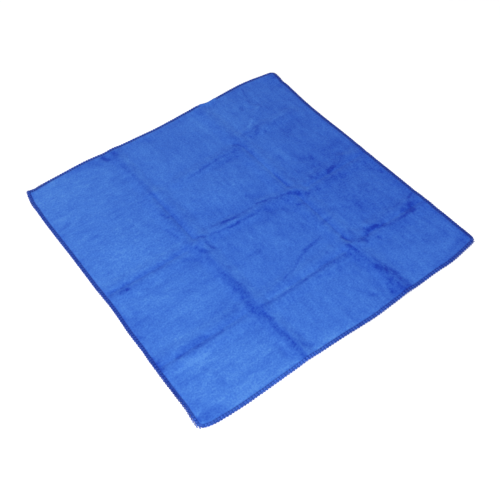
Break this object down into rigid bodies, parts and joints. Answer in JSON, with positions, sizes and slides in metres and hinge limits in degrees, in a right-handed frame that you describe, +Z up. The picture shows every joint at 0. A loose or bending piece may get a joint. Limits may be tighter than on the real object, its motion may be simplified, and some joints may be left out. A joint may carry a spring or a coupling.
{
  "type": "microfibre cloth",
  "caption": "Square plush microfibre cleaning cloth with an overlocked edge, lying flat in the soft creases of its folds.",
  "frame": {"origin": "on the surface that the cloth lies on, below the middle of its box", "axes": "+Z up from the surface, +Y towards the far edge, +X towards the right edge"},
  "size_m": [0.3882, 0.4046, 0.0055],
  "materials": {
    "cloth": "short blue microfibre plush, brushed in places",
    "edging_thread": "dark blue overlock thread"
  },
  "bodies": {
    "root": {"cloth": "cloth"}
  },
  "joints": []
}
